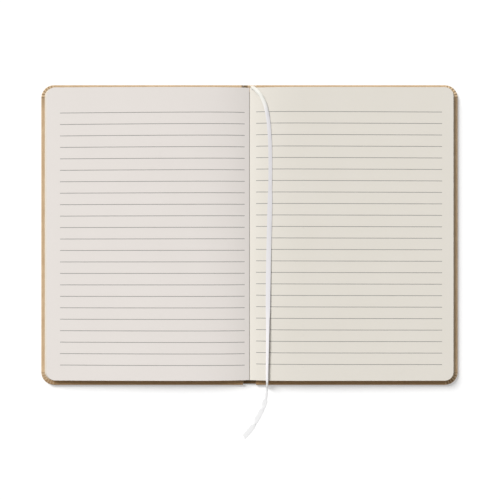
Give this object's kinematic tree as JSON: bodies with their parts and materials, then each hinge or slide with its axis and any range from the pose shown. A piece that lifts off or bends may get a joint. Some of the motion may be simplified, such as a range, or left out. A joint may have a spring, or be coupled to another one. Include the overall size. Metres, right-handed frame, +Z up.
{
  "type": "open composition notebook",
  "caption": "Hardcover kraft paper ruled notebook lying open flat at its middle, with a ribbon marker between its pages.",
  "frame": {"origin": "on the surface that the open notebook lies on, under the fold between the pages, half-way up the covers", "axes": "+X along the open spread from the left page to the right one, +Y up the pages to their head, +Z upwards"},
  "size_m": [0.2918, 0.2472, 0.0065],
  "materials": {
    "kraft_paper": "matte",
    "grey_board": "matte",
    "endpaper": "matte",
    "left_pages": "matte",
    "right_pages": "matte",
    "spine_card": "matte",
    "ribbon": "satin"
  },
  "bodies": {
    "back_half": {"back_board": "grey_board", "back_cover_paper": "kraft_paper", "back_endpaper": "endpaper", "right_page_stack": "right_pages", "ribbon_marker": "ribbon"},
    "spine": {"spine_strip": "spine_card", "spine_paper": "kraft_paper"},
    "front_half": {"front_board": "grey_board", "front_cover_paper": "kraft_paper", "front_endpaper": "endpaper", "left_page_stack": "left_pages"}
  },
  "joints": [
    {"name": "back_cover_hinge", "type": "hinge", "parent": "back_half", "child": "spine", "pos_m": [0.00258, 0, 0.00407], "axis": [0, 1, 0], "range_deg": [0, 90]},
    {"name": "front_cover_hinge", "type": "hinge", "parent": "spine", "child": "front_half", "pos_m": [-0.00258, 0, 0.00407], "axis": [0, 1, 0], "range_deg": [0, 90]}
  ],
  "couplings": [
    {"joint": "front_cover_hinge", "follows": "back_cover_hinge", "ratio": 1}
  ]
}
